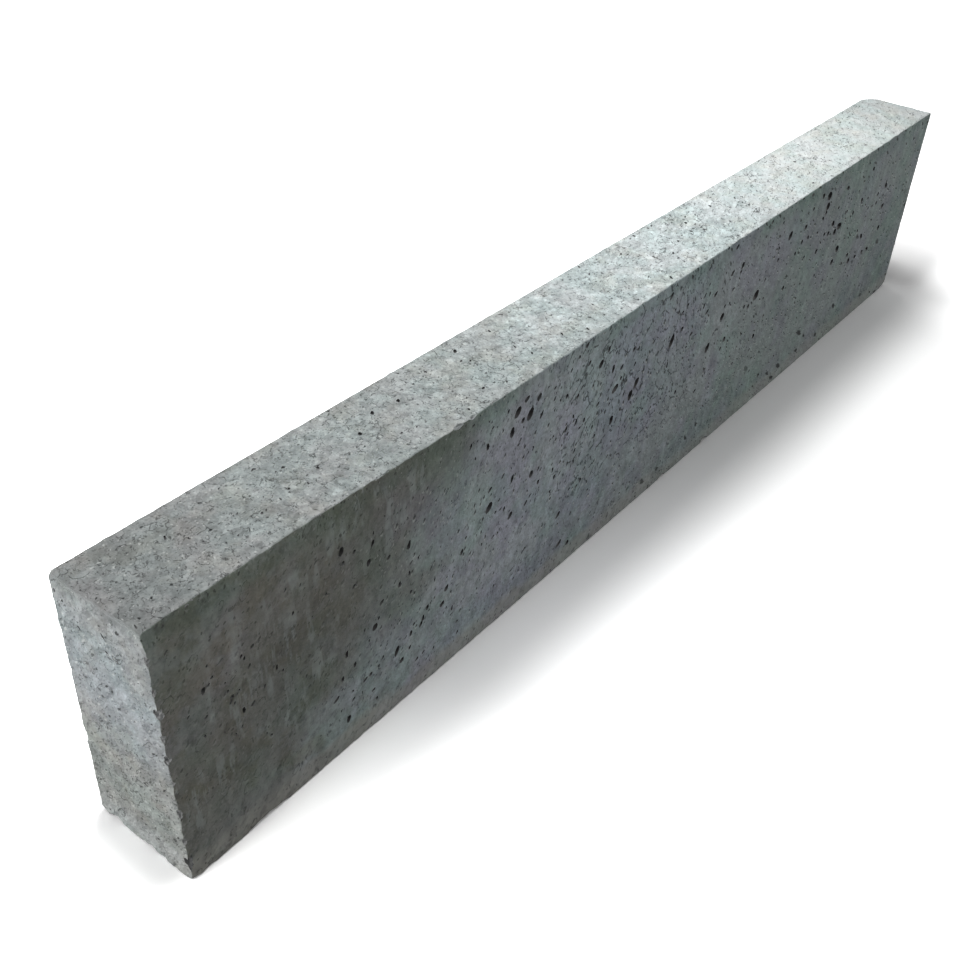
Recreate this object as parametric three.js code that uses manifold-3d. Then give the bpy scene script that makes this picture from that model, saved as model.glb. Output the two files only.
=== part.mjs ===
// A straight cast concrete kerb stone, standing on its bed along X. Millimetres, +Z up.
// The origin is the middle of the bed. A kerb stone is cast in one go, so it is one solid.
//
// It was cast upside down: the bed was the open mouth of the mould, so the stone is widest there
// and every side leans in towards the top, which let it slip out.
import * as THREE from "three";
import { mergeVertices } from "three/addons/utils/BufferGeometryUtils.js";
import Module from "manifold-3d";

// The mould.
const LENGTH = 1000; // of each long face at the bed
const HEIGHT = 200; // from the bed to the top face
const BED_WIDTH = 80; // across the bed
const FACE_DRAFT = 5; // how far each long face leans in over the height
const END_DRAFT = 4; // how far each end leans in over the height
const END_RACK = 4; // how far the ends are out of square across the bed, both the same way

// The eased edges.
const TOP_ARRIS = 2.5; // top long edges, across and down
const LEFT_END_ARRIS = 7; // top edge of the left end, along the stone; as deep as the long ones
const RIGHT_END_ARRIS = 3; // top edge of the right end, which is less worn
const BED_ARRIS = 1; // all round the bed
const UPRIGHT_ARRIS = 1.5; // radius of the four upright edges
const TOP_STEPS = 3; // facets in the quarter round of each top edge
const BED_STEPS = 1;
const UPRIGHT_STEPS = 2;

// How many facets the flat sides are cut into, so that wear doesn't leave long splinters.
const LENGTH_CELLS = 40;
const HEIGHT_CELLS = 8;

// Corners that broke off: which corner, and how far the break reaches along, across and up.
const CORNER_BREAKS = [
  { side: [1, 1], level: HEIGHT, reach: [22, 17, 10] },
  { side: [1, -1], level: 0, reach: [42, 11, 12] },
  { side: [-1, 1], level: HEIGHT, reach: [9, 9, 17] },
  { side: [-1, -1], level: HEIGHT, reach: [6, 5, 7] },
  { side: [-1, -1], level: 0, reach: [24, 7, 6] },
  { side: [-1, 1], level: 0, reach: [7, 9, 6] },
];
const BREAK_BULGE = 0.12; // a break stands proud in its middle by this share of its size
const BREAK_ROUGHNESS = 0.5; // how far its surface wanders
const BREAK_CELLS = 7; // facets along each side of a break
const BREAK_BLOCK = 3; // size of the block that makes the break, in its longest reach

// Chips along the edges: how far from the edge's first end, how long, and how deep they bite.
const EDGE_CHIPS = [
  { edge: "leftFrontUpright", at: 17, length: 24, depth: 3.2 },
  { edge: "leftFrontUpright", at: 63, length: 15, depth: 2.6 },
  { edge: "leftFrontUpright", at: 109, length: 11, depth: 3 },
  { edge: "leftFrontUpright", at: 144, length: 13, depth: 3.8 },
  { edge: "leftFrontUpright", at: 181, length: 18, depth: 2.8 },
  { edge: "leftBackUpright", at: 71, length: 24, depth: 2.4 },
  { edge: "leftBackUpright", at: 129, length: 17, depth: 2.6 },
  { edge: "leftBed", at: 67, length: 17, depth: 4.2 },
  { edge: "leftBed", at: 36, length: 15, depth: 2.6 },
  { edge: "frontBed", at: 58, length: 36, depth: 2.8 },
  { edge: "frontBed", at: 514, length: 11, depth: 3 },
  { edge: "frontBed", at: 587, length: 13, depth: 3.8 },
  { edge: "frontTop", at: 31, length: 20, depth: 3 },
  { edge: "frontTop", at: 81, length: 17, depth: 2.8 },
  { edge: "frontTop", at: 117, length: 13, depth: 2.6 },
  { edge: "frontTop", at: 230, length: 9, depth: 2.6 },
  { edge: "frontTop", at: 244, length: 8, depth: 2.8 },
];
const CHIP_OPENING = 2.4; // a chip's radius across the edge, as a multiple of its depth
const CHIP_JITTER = 0.08; // how uneven a chip is, as a share of its radius
const LUMP_DETAIL = 1; // subdivisions of the round lumps that chips and holes are cut with

// The first of the seeds that make each kind of wear uneven in its own way.
const BREAK_SEED = 1;
const CHIP_SEED = 101;
const AIR_HOLE_SEED = 201;

// The largest air holes in the front face, left by bubbles against the mould: how far along from
// the middle of the stone, how high up the face, and how wide. The finer ones are surface relief.
const AIR_HOLES = [
  { along: -190, up: 171, width: 8 },
  { along: -204, up: 179, width: 6 },
  { along: -181, up: 180, width: 5 },
  { along: -209, up: 166, width: 5 },
  { along: -231, up: 116, width: 6.5 },
  { along: -213, up: 104, width: 5 },
  { along: -235, up: 168, width: 5 },
  { along: -184, up: 117, width: 5.5 },
  { along: -308, up: 136, width: 5 },
  { along: -319, up: 109, width: 4.5 },
  { along: -376, up: 52, width: 5.5 },
  { along: -341, up: 89, width: 4.5 },
  { along: -258, up: 94, width: 4.5 },
  { along: -88, up: 158, width: 6 },
  { along: -107, up: 171, width: 5 },
  { along: -52, up: 128, width: 6 },
  { along: -3, up: 144, width: 5 },
  { along: 62, up: 110, width: 5.5 },
  { along: 93, up: 105, width: 5 },
  { along: 142, up: 129, width: 6.5 },
  { along: 201, up: 112, width: 5 },
  { along: 308, up: 99, width: 6 },
  { along: 321, up: 110, width: 5 },
  { along: 359, up: 84, width: 6 },
];
const AIR_HOLE_DEPTH = 0.45; // as a share of the width
const AIR_HOLE_JITTER = 0.1; // how far from round a hole is, as a share of its radius

// Points closer than this are one point.
const WELD = 1e-4;

// The multiplier, step and range of the stream of random numbers.
const STREAM_FACTOR = 1664525;
const STREAM_STEP = 1013904223;
const STREAM_RANGE = 2 ** 32;

const wasm = await Module();
wasm.setup();

// A repeatable stream of numbers from 0 to 1.
function numberStream(seed) {
  let state = seed;
  return () => {
    state = (state * STREAM_FACTOR + STREAM_STEP) % STREAM_RANGE;
    return state / STREAM_RANGE;
  };
}

// A closed three.js geometry as a manifold-3d solid.
function solidOf(geometry) {
  const bare = geometry.index ? geometry.toNonIndexed() : geometry.clone();
  bare.deleteAttribute("normal");
  bare.deleteAttribute("uv");
  const merged = mergeVertices(bare, WELD);
  return new wasm.Manifold(
    new wasm.Mesh({
      numProp: 3,
      vertProperties: merged.attributes.position.array,
      triVerts: new Uint32Array(merged.index.array),
    }),
  );
}

// A manifold-3d solid as a three.js geometry with flat facets.
function geometryOf(solid) {
  const mesh = solid.getMesh();
  const positions = new Float32Array(mesh.numVert * 3);
  for (let i = 0; i < mesh.numVert; i++) {
    const start = i * mesh.numProp;
    positions.set(mesh.vertProperties.subarray(start, start + 3), i * 3);
  }
  const shared = new THREE.BufferGeometry();
  shared.setAttribute("position", new THREE.BufferAttribute(positions, 3));
  shared.setIndex(new THREE.BufferAttribute(mesh.triVerts, 1));
  const faceted = shared.toNonIndexed();
  faceted.computeVertexNormals();
  return faceted;
}

// A point at a height, given as its place in a square-ended stone: the racked mould shifts it.
function racked(x, y, height) {
  return new THREE.Vector3(x - (END_RACK * y) / BED_WIDTH, y, height);
}

// Half the stone's length and width at a height.
function halfSizeAt(height) {
  const lean = height / HEIGHT;
  return [LENGTH / 2 - END_DRAFT * lean, BED_WIDTH / 2 - FACE_DRAFT * lean];
}

// One sharp corner of the stone at a height: side holds the signs of x and y.
function cornerAt([signX, signY], height) {
  const [halfLength, halfWidth] = halfSizeAt(height);
  return racked(signX * halfLength, signY * halfWidth, height);
}

// The level outline at a height, drawn in at the right end, the left end and the sides, with its
// upright edges rounded. It goes round from the middle of the right end, so each point has its
// mirror across the stone as far back from the end.
function outlineAt(height, insetRight, insetLeft, insetSide) {
  const [halfLength, halfWidth] = halfSizeAt(height);
  const reachRight = halfLength - insetRight - UPRIGHT_ARRIS;
  const reachLeft = -(halfLength - insetLeft - UPRIGHT_ARRIS);
  const reachY = halfWidth - insetSide - UPRIGHT_ARRIS;
  const half = [[reachRight + UPRIGHT_ARRIS, 0]];
  const roundCorner = (reachX, firstAngle) => {
    for (let step = 0; step <= UPRIGHT_STEPS; step++) {
      const angle = firstAngle + ((Math.PI / 2) * step) / UPRIGHT_STEPS;
      const x = reachX + UPRIGHT_ARRIS * Math.cos(angle);
      half.push([x, reachY + UPRIGHT_ARRIS * Math.sin(angle)]);
    }
  };
  roundCorner(reachRight, 0);
  for (let cell = 1; cell < LENGTH_CELLS; cell++) {
    const x = reachRight + ((reachLeft - reachRight) * cell) / LENGTH_CELLS;
    half.push([x, reachY + UPRIGHT_ARRIS]);
  }
  roundCorner(reachLeft, Math.PI / 2);
  half.push([reachLeft - UPRIGHT_ARRIS, 0]);
  const mirrored = half.slice(1, -1).reverse();
  return [...half, ...mirrored.map(([x, y]) => [x, -y])].map(([x, y]) => racked(x, y, height));
}

// The angles that cut a quarter round into a number of steps.
function quarterRound(steps) {
  return Array.from({ length: steps + 1 }, (_, step) => ((Math.PI / 2) * step) / steps);
}

// The outlines from the bed up: a quarter round, the leaning sides, and a quarter round to the top.
function outlines() {
  const bed = quarterRound(BED_STEPS).map((angle) => {
    const inset = BED_ARRIS * (1 - Math.sin(angle));
    return outlineAt(BED_ARRIS * (1 - Math.cos(angle)), inset, inset, inset);
  });
  const sides = [];
  for (let cell = 1; cell < HEIGHT_CELLS; cell++) {
    const share = cell / HEIGHT_CELLS;
    sides.push(outlineAt(BED_ARRIS + (HEIGHT - TOP_ARRIS - BED_ARRIS) * share, 0, 0, 0));
  }
  const top = quarterRound(TOP_STEPS).map((angle) => {
    const turned = 1 - Math.cos(angle);
    const height = HEIGHT - TOP_ARRIS * (1 - Math.sin(angle));
    const insets = [RIGHT_END_ARRIS, LEFT_END_ARRIS, TOP_ARRIS].map((arris) => arris * turned);
    return outlineAt(height, ...insets);
  });
  return [...bed, ...sides, ...top];
}

// A closed skin over a stack of like outlines, with a flat cap of cross strips at each end.
function loft(stack) {
  const count = stack[0].length;
  const indices = [];
  const quad = (a, b, c, d) => indices.push(a, b, c, a, c, d);
  for (let level = 0; level + 1 < stack.length; level++) {
    for (let i = 0; i < count; i++) {
      const next = (i + 1) % count;
      const low = level * count;
      const high = low + count;
      quad(low + i, low + next, high + next, high + i);
    }
  }
  const top = (stack.length - 1) * count;
  const mirror = (i) => (count - i) % count;
  for (let i = 0; i < count / 2; i++) {
    const strip = [i, i + 1, mirror(i + 1), mirror(i)].filter((at, k, all) => all.indexOf(at) === k);
    for (let k = 1; k + 1 < strip.length; k++) {
      indices.push(top + strip[0], top + strip[k], top + strip[k + 1]);
      indices.push(strip[0], strip[k + 1], strip[k]);
    }
  }
  const geometry = new THREE.BufferGeometry();
  const positions = stack.flat().flatMap((point) => point.toArray());
  geometry.setAttribute("position", new THREE.Float32BufferAttribute(positions, 3));
  geometry.setIndex(indices);
  return geometry;
}

// The block that takes a corner off: its underside is the break, rough and a little rounded.
function breakTool({ side, level, reach }, seed) {
  const random = numberStream(seed);
  const corner = cornerAt(side, level);
  const inward = [-side[0], -side[1], level > 0 ? -1 : 1];
  const points = reach.map((distance, axis) => {
    const point = corner.clone();
    point.setComponent(axis, point.getComponent(axis) + inward[axis] * distance);
    return point;
  });
  const middle = points[0].clone().add(points[1]).add(points[2]).divideScalar(3);
  const outward = new THREE.Plane().setFromCoplanarPoints(...points).normal;
  if (outward.dot(corner.clone().sub(middle)) < 0) outward.negate();

  const size = BREAK_BLOCK * Math.max(...reach);
  const block = new THREE.BoxGeometry(size, size, size, BREAK_CELLS, BREAK_CELLS, 1);
  const shared = mergeVertices(block.deleteAttribute("normal").deleteAttribute("uv"), WELD);
  shared.translate(0, 0, size / 2);
  const position = shared.attributes.position;
  const bulge = BREAK_BULGE * Math.max(...reach);
  for (let i = 0; i < position.count; i++) {
    if (position.getZ(i) > size / 2) continue;
    const fromMiddle = Math.hypot(position.getX(i), position.getY(i)) / size;
    const wander = BREAK_ROUGHNESS * (2 * random() - 1);
    position.setZ(i, bulge * (1 - 4 * fromMiddle ** 2) + wander);
  }
  const turn = new THREE.Quaternion().setFromUnitVectors(new THREE.Vector3(0, 0, 1), outward);
  return solidOf(shared.applyQuaternion(turn).translate(...middle.toArray()));
}

// The edges that are chipped: both ends, and the way that faces out of the stone.
const EDGES = {
  leftFrontUpright: {
    ends: [cornerAt([-1, -1], 0), cornerAt([-1, -1], HEIGHT)],
    out: new THREE.Vector3(-1, -1, 0),
  },
  leftBackUpright: {
    ends: [cornerAt([-1, 1], 0), cornerAt([-1, 1], HEIGHT)],
    out: new THREE.Vector3(-1, 1, 0),
  },
  leftBed: {
    ends: [cornerAt([-1, -1], 0), cornerAt([-1, 1], 0)],
    out: new THREE.Vector3(-1, 0, -1),
  },
  frontBed: {
    ends: [cornerAt([-1, -1], 0), cornerAt([1, -1], 0)],
    out: new THREE.Vector3(0, -1, -1),
  },
  frontTop: {
    ends: [cornerAt([-1, -1], HEIGHT), cornerAt([1, -1], HEIGHT)],
    out: new THREE.Vector3(0, -1, 1),
  },
};

// An uneven round lump of radius 1, turned at random so that none of its facets lines up with
// the stone.
function unevenLump(jitter, random) {
  const lump = new THREE.IcosahedronGeometry(1, LUMP_DETAIL);
  lump.deleteAttribute("normal").deleteAttribute("uv");
  const shared = mergeVertices(lump, WELD);
  const position = shared.attributes.position;
  const point = new THREE.Vector3();
  for (let i = 0; i < position.count; i++) {
    point.fromBufferAttribute(position, i).multiplyScalar(1 + jitter * (2 * random() - 1));
    position.setXYZ(i, ...point.toArray());
  }
  return shared.rotateX(Math.PI * random()).rotateY(Math.PI * random());
}

// The lump that bites a chip out of an edge.
function chipTool({ edge, at, length, depth }, seed) {
  const shared = unevenLump(CHIP_JITTER, numberStream(seed));
  const [start, end] = EDGES[edge].ends;
  const along = end.clone().sub(start).normalize();
  const out = EDGES[edge].out.clone().normalize();
  const radius = CHIP_OPENING * depth;
  const across = new THREE.Vector3().crossVectors(out, along);
  const frame = new THREE.Matrix4().makeBasis(along, across, out);
  const place = start.clone().addScaledVector(along, at).addScaledVector(out, radius - depth);
  shared.scale(length / 2, radius, radius).applyMatrix4(frame);
  return solidOf(shared.translate(...place.toArray()));
}

// The lump that leaves an air hole in the front face.
function airHoleTool({ along, up, width }, seed) {
  const lump = unevenLump(AIR_HOLE_JITTER, numberStream(seed));
  const depth = AIR_HOLE_DEPTH * width;
  const [, halfWidth] = halfSizeAt(up);
  return solidOf(lump.scale(width / 2, depth, width / 2).translate(along, -halfWidth, up));
}

let stone = solidOf(loft(outlines()));
CORNER_BREAKS.forEach((wear, i) => {
  stone = stone.subtract(breakTool(wear, BREAK_SEED + i));
});
EDGE_CHIPS.forEach((wear, i) => {
  stone = stone.subtract(chipTool(wear, CHIP_SEED + i));
});
AIR_HOLES.forEach((hole, i) => {
  stone = stone.subtract(airHoleTool(hole, AIR_HOLE_SEED + i));
});

const concrete = new THREE.MeshStandardMaterial({
  color: 0x9aa09f,
  roughness: 0.92,
  metalness: 0,
});
const kerb = new THREE.Mesh(geometryOf(stone), concrete);
kerb.name = "kerb_stone";

const group = new THREE.Group();
group.add(kerb);

export default group;
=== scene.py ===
from math import pi, radians

import bmesh
import bpy
import numpy as np
from mathutils import Euler, Matrix, Vector
from mathutils.noise import fractal


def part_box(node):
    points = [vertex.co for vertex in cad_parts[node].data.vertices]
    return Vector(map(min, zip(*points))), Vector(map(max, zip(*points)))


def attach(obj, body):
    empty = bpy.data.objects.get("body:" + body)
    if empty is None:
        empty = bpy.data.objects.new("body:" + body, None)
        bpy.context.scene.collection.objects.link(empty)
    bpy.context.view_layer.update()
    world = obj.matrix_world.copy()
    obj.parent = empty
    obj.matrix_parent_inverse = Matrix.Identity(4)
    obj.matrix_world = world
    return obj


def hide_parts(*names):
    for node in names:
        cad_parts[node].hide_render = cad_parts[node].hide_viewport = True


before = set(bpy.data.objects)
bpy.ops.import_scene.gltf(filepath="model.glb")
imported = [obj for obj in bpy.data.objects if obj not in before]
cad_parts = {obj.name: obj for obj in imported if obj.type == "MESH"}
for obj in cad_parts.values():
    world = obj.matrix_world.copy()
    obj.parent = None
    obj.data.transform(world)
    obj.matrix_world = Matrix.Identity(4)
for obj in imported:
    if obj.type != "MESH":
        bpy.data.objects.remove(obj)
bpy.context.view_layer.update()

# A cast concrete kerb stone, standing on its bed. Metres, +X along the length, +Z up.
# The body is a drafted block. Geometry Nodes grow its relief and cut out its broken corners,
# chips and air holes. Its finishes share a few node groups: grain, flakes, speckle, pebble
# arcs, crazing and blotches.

# ---------------------------------------------------------------- sizes, metres

MM = 0.001
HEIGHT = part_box("kerb_stone")[1].z
BED_WIDTH = 80 * MM
LENGTH = 1000 * MM
FACE_DRAFT = 5 * MM     # each long face leans in by this over the height
END_DRAFT = 4 * MM      # and each end by this
END_RACK = 4 * MM       # the ends are out of square by this across the bed

TOP_ARRIS = 1.1 * MM    # radius along the top of the long faces
BED_ARRIS = 0.4 * MM
UPRIGHT_ARRIS = 0.6 * MM
LEFT_END_ARRIS = (3.5 * MM, 3 * MM)   # the worn top edge of each end: reach along and down
RIGHT_END_ARRIS = (1.5 * MM, 1.5 * MM)
WORN_REACH = 13 * MM    # how far down the worn front arris leans at the near end
WORN_RECESS = 2.3 * MM  # and how far back
WORN_CURVE = 1.5        # how soon that lean fades away below the edge

NEAR_WORN_TO = -300 * MM    # where that wear starts, coming from the far end
NEAR_WORN_OVER = 90 * MM

# The mesh's cells: closest at the near end, which is the one at -X.
NEAR_CELL = 1.7 * MM
FAR_CELL = 2.7 * MM
WIDTH_CELL = 1.8 * MM
HEIGHT_CELL = 2.3 * MM
ARRIS_CELLS = 4
KEPT_SHARE = 0.39       # of the faces, after the flat places are thinned

# ---------------------------------------------------------------- camera and light

VIEW_WIDTH = 980        # of the view, in the units that holes are placed by
CAMERA_PLACE = Vector((-0.67411, -0.36545, 0.5804))
CAMERA_TURN = Euler((radians(50.8116), radians(-3.0139), radians(-51.0057)), "XYZ")
SENSOR = 36.0
LENS = 39.61
CLIP = 0.01, 20

# The white of the paper that the stone stands on, in smooth steps: where each one starts and is
# full, and what it is there.
# These steps paint light and shade into it, which shape the stone's shadow.
FLOOR_NEARER = ((0.15, -0.30, 1.05, 1.67), (-0.25, -0.43, 0.0, 1.0))      # added up, by X: painted lighter towards the near end
FLOOR_FARTHER = ((0.42, 0.50, 1.0, 1.20), (0.59, 0.63, 1.0, 1.12))        # times that, by X: painted lighter at and past the far end
FLOOR_OUTER = (0.03, 0.10, 1.0, 1.6)        # times that, by how far it is from the stone: painted shade close to it
FLOOR_GLOW = ((0.10, 0.30, 0.0, 0.7), (0.35, 0.90, 0.0, 0.4))   # a glow added, by how far it is: painted light away from the stone
# Its painted shadows: what stays of the white, and where each painted shadow starts and is full, by
# X, by Y and by how far it is from the stone.
FLOOR_SHADES = (
    (0.59, (0.485, 0.54), (-0.096, -0.045), None),              # behind the far end
    (0.86, (0.60, 0.54), (-0.06, -0.02), None),                 # the middle of that shade
    (0.53, (-0.485, -0.5), (-0.055, -0.02), (0.04, 0.0)),       # at the foot of the near end
)
FLOOR_BOUNCE = 0.25     # what it gives back to the stone
FLOOR_SIZE = 12
WORLD_FILL = 0.18       # the light that comes from all round

# The lamps: place, what each one faces, its width and its power.
SOFTBOXES = {
    "side_softbox": ((-1.6066, 0.2833, 0.7607), (0, 0, 0.1), 0.9, 14.8),
    "over_softbox": ((0.2, 0.3, 0.8), (0.2, 0, 0.2), 0.5, 5.35),
    "front_softbox": ((0.8157, -1.4128, 0.7607), (0, 0, 0.1), 0.9, 4.44),
    "back_softbox": ((0.9357, 1.3363, 0.7607), (0, 0, 0.1), 0.9, 3.2),
    "top_softbox": ((-0.5227, 0.1902, 1.7119), (0, 0, 0.1), 0.9, 2.7),
}


# ---------------------------------------------------------------- node helpers

class Nodes:
    """Adds nodes to a tree: inputs by name or number, given as values or as sockets."""

    def __init__(self, tree):
        self.tree = tree

    def add(self, kind, inputs=None, **settings):
        node = self.tree.nodes.new(kind)
        for name, value in settings.items():
            setattr(node, name, value)
        for key, value in (inputs or {}).items():
            self.feed(node.inputs[key], value)
        return node

    def feed(self, socket, value):
        if isinstance(value, bpy.types.NodeSocket):
            self.tree.links.new(value, socket)
        elif value is not None:
            socket.default_value = value

    def math(self, operation, *values, clamp=False):
        node = self.add("ShaderNodeMath", dict(enumerate(values)), operation=operation,
                        use_clamp=clamp)
        return node.outputs[0]

    def times(self, first, *others):
        """The product of several values."""
        for value in others:
            first = self.math("MULTIPLY", first, value)
        return first

    def vector(self, operation, *values, output=0):
        node = self.add("ShaderNodeVectorMath", dict(enumerate(values)), operation=operation)
        return node.outputs[output]

    def scaled(self, vector, factor):
        """A vector times a number."""
        product = self.vector("SCALE", vector)
        self.feed(product.node.inputs["Scale"], factor)
        return product

    def split(self, vector):
        """A vector's X, Y and Z."""
        return self.add("ShaderNodeSeparateXYZ", {0: vector}).outputs

    def join(self, x, y, z):
        return self.add("ShaderNodeCombineXYZ", {0: x, 1: y, 2: z}).outputs[0]

    def ramp(self, value, low, high, to_low=0.0, to_high=1.0):
        """Smooth step from to_low at low to to_high at high."""
        node = self.add("ShaderNodeMapRange", {0: value, 1: low, 2: high, 3: to_low, 4: to_high},
                        interpolation_type="SMOOTHSTEP")
        return node.outputs[0]

    def between(self, mask, to_none, to_full):
        """Smooth step from to_none where the mask is 0 to to_full where it is 1."""
        return self.ramp(mask, 0.0, 1.0, to_none, to_full)

    def noise(self, place, scale, detail=2.0, rough=0.5, colour=False):
        node = self.add("ShaderNodeTexNoise", {"Vector": place, "Scale": scale, "Detail": detail,
                                               "Roughness": rough})
        return node.outputs["Color" if colour else 0]

    def swing(self, place, scale, detail=2.0, rough=0.5):
        """Noise that goes both ways from 0."""
        return self.math("SUBTRACT", self.noise(place, scale, detail, rough), 0.5)

    def drift(self, place, scale, reach):
        """A vector that wanders round 0 by about that reach."""
        noise = self.noise(place, scale, 2, 0.6, colour=True)
        return self.scaled(self.vector("SUBTRACT", noise, (0.5, 0.5, 0.5)), reach)

    def cells(self, place, scale, feature="F1"):
        """How far a place is from the middle of its cell, or from its border."""
        node = self.add("ShaderNodeTexVoronoi", {"Vector": place, "Scale": scale}, feature=feature)
        return node.outputs["Distance"]


def sockets(tree, inputs=(), outputs=()):
    """Gives a tree its named inputs and outputs, and returns its input and output nodes."""
    for name, kind, value in inputs:
        socket = tree.interface.new_socket(name, in_out="INPUT", socket_type="NodeSocket" + kind)
        if value is not None:
            socket.default_value = value
    for name, kind in outputs:
        tree.interface.new_socket(name, in_out="OUTPUT", socket_type="NodeSocket" + kind)
    return tree.nodes.new("NodeGroupInput"), tree.nodes.new("NodeGroupOutput")


def new_material(name):
    """An empty node material, and its node tree."""
    material = bpy.data.materials.new(name)
    material.use_nodes = True
    material.node_tree.nodes.clear()
    return material, material.node_tree


# ---------------------------------------------------------------- the body's mesh

def graded(start, end, first, last):
    """Places from start to end whose spacing grows evenly from first to last."""
    count = max(2, round(2 * (end - start) / (first + last)))
    share = np.linspace(0, 1, count + 1)
    bent = share * first + (last - first) * share ** 2 / 2
    return start + (end - start) * bent / bent[-1]


def eased(radius, from_edge):
    """How far a quarter round of that radius sets a face back, this far from the edge."""
    inside = np.clip(radius - from_edge, 0, radius)
    return radius - np.sqrt(radius ** 2 - inside ** 2)


def grid_places():
    """The cell borders along X, Y and Z, closer together where an arris turns."""
    turn = np.sin(np.linspace(0, pi / 2, ARRIS_CELLS + 1))
    corner = UPRIGHT_ARRIS * (1 - turn[::-1])
    half_length, half_width = LENGTH / 2, BED_WIDTH / 2
    along = graded(-half_length + UPRIGHT_ARRIS, half_length - UPRIGHT_ARRIS, NEAR_CELL, FAR_CELL)
    along = np.concatenate([-half_length + corner[:-1], along, (half_length - corner[:-1])[::-1]])
    across = graded(-half_width + UPRIGHT_ARRIS, half_width - UPRIGHT_ARRIS, WIDTH_CELL, WIDTH_CELL)
    across = np.concatenate([-half_width + corner[:-1], across, (half_width - corner[:-1])[::-1]])
    bed = BED_ARRIS * (1 - turn[::-1])
    top = HEIGHT - TOP_ARRIS * (1 - turn)
    up = graded(BED_ARRIS, HEIGHT - TOP_ARRIS, HEIGHT_CELL, HEIGHT_CELL)
    return along, across, np.concatenate([bed[:-1], up, top[1:]])


def block_grid():
    """A closed box of quads on the cell borders, as grid indices and faces."""
    along, across, up = grid_places()
    counts = (len(along), len(across), len(up))
    index = -np.ones(counts, int)
    inside = np.zeros(counts, bool)
    inside[1:-1, 1:-1, 1:-1] = True
    index[~inside] = np.arange((~inside).sum())
    i, j, k = np.nonzero(~inside)
    places = np.stack([along[i], across[j], up[k]], 1)
    faces = []
    for axis in range(3):
        for side in (0, -1):
            sheet = np.take(index, side, axis=axis)
            quads = np.stack([sheet[:-1, :-1], sheet[1:, :-1], sheet[1:, 1:], sheet[:-1, 1:]], -1)
            outward = (side == -1) != (axis == 1)
            quads = quads.reshape(-1, 4)
            faces.append(quads if outward else quads[:, ::-1])
    return places, np.concatenate(faces)


def shaped(places):
    """The box's corners moved to the drafted, eased and racked form of the stone."""
    x, y, z = places.T
    rise = z / HEIGHT
    half_x = LENGTH / 2 - END_DRAFT * rise - eased(BED_ARRIS, z)
    left = eased(LEFT_END_ARRIS[1], HEIGHT - z) * LEFT_END_ARRIS[0] / LEFT_END_ARRIS[1]
    right = eased(RIGHT_END_ARRIS[1], HEIGHT - z) * RIGHT_END_ARRIS[0] / RIGHT_END_ARRIS[1]
    half_x = half_x - np.where(x < 0, left, right)
    worn = np.where(y < 0, np.clip((NEAR_WORN_TO - x) / NEAR_WORN_OVER, 0, 1), 0)
    lean = np.clip(1 - (HEIGHT - z) / WORN_REACH, 0, 1) ** WORN_CURVE
    half_y = BED_WIDTH / 2 - FACE_DRAFT * rise - eased(BED_ARRIS, z)
    half_y = half_y - eased(TOP_ARRIS, HEIGHT - z) - worn * lean * WORN_RECESS
    x = x * half_x / (LENGTH / 2)
    y = y * half_y / (BED_WIDTH / 2)
    over_x = np.abs(x) - (half_x - UPRIGHT_ARRIS)
    over_y = np.abs(y) - (half_y - UPRIGHT_ARRIS)
    corner = (over_x > 0) & (over_y > 0)
    reach = np.maximum(np.hypot(over_x, over_y), 1e-9)
    pull = np.where(corner, np.maximum(over_x, over_y) / reach, 1)
    x = np.where(corner, np.sign(x) * (half_x - UPRIGHT_ARRIS + over_x * pull), x)
    y = np.where(corner, np.sign(y) * (half_y - UPRIGHT_ARRIS + over_y * pull), y)
    return np.stack([x - END_RACK * y / BED_WIDTH, y, z], 1)


def body_mesh():
    places, faces = block_grid()
    mesh = bpy.data.meshes.new("kerb_body")
    mesh.from_pydata(shaped(places).tolist(), [], faces.tolist())
    return mesh


def linked(name, data):
    """A new object in the scene."""
    piece = bpy.data.objects.new(name, data)
    bpy.context.scene.collection.objects.link(piece)
    return piece


# ---------------------------------------------------------------- wear: breaks and chips

# Corners that are broken off: signs of X and Y, 1 for the top or -1 for the bed, and how far
# the break reaches along X, Y and Z.
CORNER_BREAKS = (
    ((1, 1), 1, (22 * MM, 17 * MM, 10 * MM)),
    ((1, -1), -1, (42 * MM, 11 * MM, 12 * MM)),
    ((-1, 1), 1, (3.5 * MM, 3.5 * MM, 6 * MM)),
    ((-1, -1), 1, (3 * MM, 2.5 * MM, 3 * MM)),
    ((-1, -1), -1, (24 * MM, 7 * MM, 6 * MM)),
    ((-1, 1), -1, (7 * MM, 9 * MM, 6 * MM)),
)
BREAK_CELL = 1.2 * MM
BREAK_BULGE = 0.12      # of the longest reach
BREAK_ROUGH = 0.5 * MM
BREAK_WAVES, BREAK_GRAIN = 3, 14      # how often its roughness turns over the longest reach
BREAK_BLOCK = 3         # the width of the block that makes it, in longest reaches

# Chips along the edges: how far along the edge, how long, how deep.
EDGE_CHIPS = {
    "left_front_upright": ((17, 15, 2.6), (38, 7, 1.8), (63, 9, 2.0), (90, 5, 1.6), (109, 7, 2.0),
                           (126, 6, 1.7), (144, 9, 2.8), (161, 6, 1.6), (182, 9, 1.8)),
    "left_back_upright": ((71, 14, 1.6), (129, 9, 1.6)),
    "left_bed": ((67, 17, 4.2), (36, 15, 2.6)),
    "front_bed": ((58, 36, 2.8), (514, 11, 3.0), (587, 13, 3.8)),
    "front_top": ((31, 13, 2.6), (81, 11, 2.6), (117, 10, 2.5), (230, 11, 1.5), (244, 9, 1.6)),
}
CHIP_OPENING = 1.7      # a chip's radius across the edge, in depths
CHIP_ROUGH = 0.30       # how uneven a chip's lump is, as a share of its radius
CHIP_WAVES = 1.7        # how often that turns over a radius


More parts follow.
